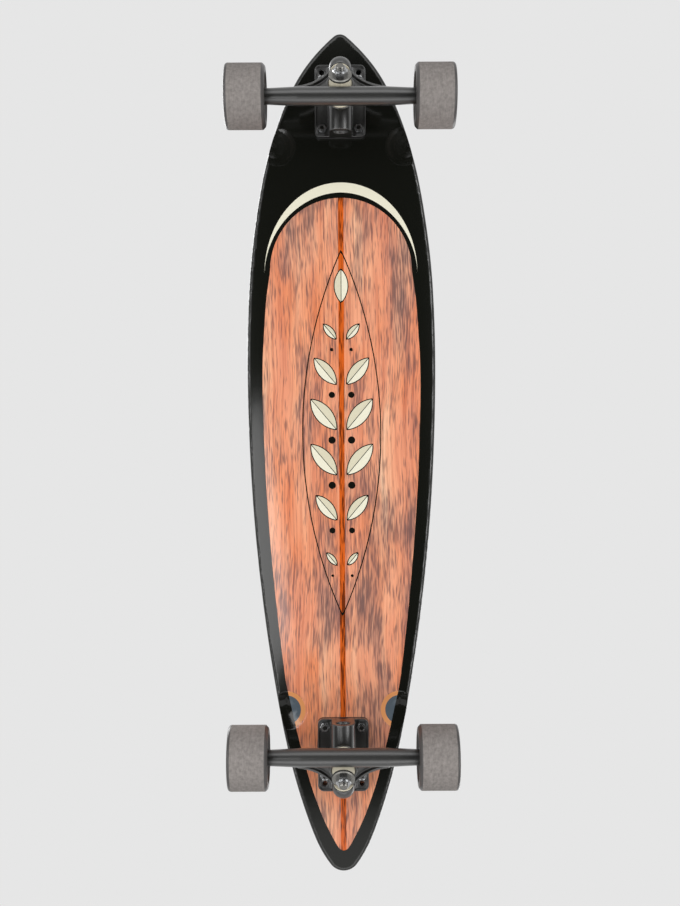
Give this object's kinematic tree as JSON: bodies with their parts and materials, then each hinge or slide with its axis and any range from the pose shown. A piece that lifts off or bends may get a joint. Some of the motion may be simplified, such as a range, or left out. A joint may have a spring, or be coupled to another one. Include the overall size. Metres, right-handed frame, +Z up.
{
  "type": "longboard skateboard",
  "caption": "Pintail longboard skateboard with grip tape, riser pads, sprung steering trucks and soft wheels turning on ball bearings.",
  "frame": {"origin": "floor level under the middle of the board, wheels standing on z = 0", "axes": "+X to the nose, +Y to the rider's left, +Z up"},
  "size_m": [0.9456, 0.2468, 0.1171],
  "materials": {
    "deck_laminate": "clear gloss lacquer over printed maple",
    "grip_grit": "coarse mineral grit",
    "riser_rubber": "matte",
    "cast_black": "black powder coat over cast aluminium, satin",
    "cup_urethane": "cream urethane, satin",
    "bushing_urethane": "cream urethane, satin",
    "bright_steel": "bright zinc plate",
    "dark_steel": "black oxide",
    "race_steel": "polished bearing steel",
    "wheel_urethane": "stone-ground matte urethane",
    "core_plastic": "glass-filled nylon",
    "shield_rubber": "matte seal"
  },
  "bodies": {
    "board": {"deck": "deck_laminate", "grip_tape": "grip_grit", "front_riser_pad": "riser_rubber", "front_baseplate": "cast_black", "front_pivot_cup": "cup_urethane", "front_kingpin": "bright_steel", "front_kingpin_nut": "bright_steel", "front_bushing_washers": "bright_steel", "front_boardside_bushing": "bushing_urethane", "front_roadside_bushing": "bushing_urethane", "front_truck_bolts": "dark_steel", "front_truck_nuts": "bright_steel", "rear_riser_pad": "riser_rubber", "rear_baseplate": "cast_black", "rear_pivot_cup": "cup_urethane", "rear_kingpin": "bright_steel", "rear_kingpin_nut": "bright_steel", "rear_bushing_washers": "bright_steel", "rear_boardside_bushing": "bushing_urethane", "rear_roadside_bushing": "bushing_urethane", "rear_truck_bolts": "dark_steel", "rear_truck_nuts": "bright_steel"},
    "front_hanger_body": {"front_hanger": "cast_black", "front_axle": "bright_steel", "front_axle_nuts": "bright_steel", "front_speed_washers": "bright_steel", "front_bearing_spacers": "bright_steel", "front_bearing_inner_rings": "race_steel"},
    "front_left_wheel_body": {"front_left_wheel": "wheel_urethane", "front_left_wheel_core": "core_plastic", "front_left_bearing_outer_rings": "race_steel", "front_left_bearing_shields": "shield_rubber"},
    "front_left_ball_sets": {"front_left_bearing_balls": "race_steel"},
    "front_right_wheel_body": {"front_right_wheel": "wheel_urethane", "front_right_wheel_core": "core_plastic", "front_right_bearing_outer_rings": "race_steel", "front_right_bearing_shields": "shield_rubber"},
    "front_right_ball_sets": {"front_right_bearing_balls": "race_steel"},
    "rear_hanger_body": {"rear_hanger": "cast_black", "rear_axle": "bright_steel", "rear_axle_nuts": "bright_steel", "rear_speed_washers": "bright_steel", "rear_bearing_spacers": "bright_steel", "rear_bearing_inner_rings": "race_steel"},
    "rear_left_wheel_body": {"rear_left_wheel": "wheel_urethane", "rear_left_wheel_core": "core_plastic", "rear_left_bearing_outer_rings": "race_steel", "rear_left_bearing_shields": "shield_rubber"},
    "rear_left_ball_sets": {"rear_left_bearing_balls": "race_steel"},
    "rear_right_wheel_body": {"rear_right_wheel": "wheel_urethane", "rear_right_wheel_core": "core_plastic", "rear_right_bearing_outer_rings": "race_steel", "rear_right_bearing_shields": "shield_rubber"},
    "rear_right_ball_sets": {"rear_right_bearing_balls": "race_steel"}
  },
  "joints": [
    {"name": "front_steer", "type": "hinge", "parent": "board", "child": "front_hanger_body", "pos_m": [0.39598, 0, 0.04958], "axis": [0.8192, 0, 0.5736], "range_deg": [-18, 18], "stiffness_Nm_per_rad": 40, "deforming": ["front_boardside_bushing", "front_roadside_bushing"]},
    {"name": "front_left_spin", "type": "hinge", "parent": "front_hanger_body", "child": "front_left_wheel_body", "pos_m": [0.383, 0.103, 0.035], "axis": [0, 1, 0], "continuous": true},
    {"name": "front_left_ball_orbit", "type": "hinge", "parent": "front_hanger_body", "child": "front_left_ball_sets", "pos_m": [0.383, 0.103, 0.035], "axis": [0, 1, 0], "continuous": true},
    {"name": "front_right_spin", "type": "hinge", "parent": "front_hanger_body", "child": "front_right_wheel_body", "pos_m": [0.383, -0.103, 0.035], "axis": [0, 1, 0], "continuous": true},
    {"name": "front_right_ball_orbit", "type": "hinge", "parent": "front_hanger_body", "child": "front_right_ball_sets", "pos_m": [0.383, -0.103, 0.035], "axis": [0, 1, 0], "continuous": true},
    {"name": "rear_steer", "type": "hinge", "parent": "board", "child": "rear_hanger_body", "pos_m": [-0.34098, 0, 0.04958], "axis": [-0.8192, 0, 0.5736], "range_deg": [-18, 18], "stiffness_Nm_per_rad": 40, "deforming": ["rear_boardside_bushing", "rear_roadside_bushing"]},
    {"name": "rear_left_spin", "type": "hinge", "parent": "rear_hanger_body", "child": "rear_left_wheel_body", "pos_m": [-0.328, 0.103, 0.035], "axis": [0, 1, 0], "continuous": true},
    {"name": "rear_left_ball_orbit", "type": "hinge", "parent": "rear_hanger_body", "child": "rear_left_ball_sets", "pos_m": [-0.328, 0.103, 0.035], "axis": [0, 1, 0], "continuous": true},
    {"name": "rear_right_spin", "type": "hinge", "parent": "rear_hanger_body", "child": "rear_right_wheel_body", "pos_m": [-0.328, -0.103, 0.035], "axis": [0, 1, 0], "continuous": true},
    {"name": "rear_right_ball_orbit", "type": "hinge", "parent": "rear_hanger_body", "child": "rear_right_ball_sets", "pos_m": [-0.328, -0.103, 0.035], "axis": [0, 1, 0], "continuous": true}
  ],
  "couplings": [
    {"joint": "front_left_ball_orbit", "follows": "front_left_spin", "ratio": 0.63233},
    {"joint": "front_right_ball_orbit", "follows": "front_right_spin", "ratio": 0.63233},
    {"joint": "rear_left_ball_orbit", "follows": "rear_left_spin", "ratio": 0.63233},
    {"joint": "rear_right_ball_orbit", "follows": "rear_right_spin", "ratio": 0.63233}
  ]
}
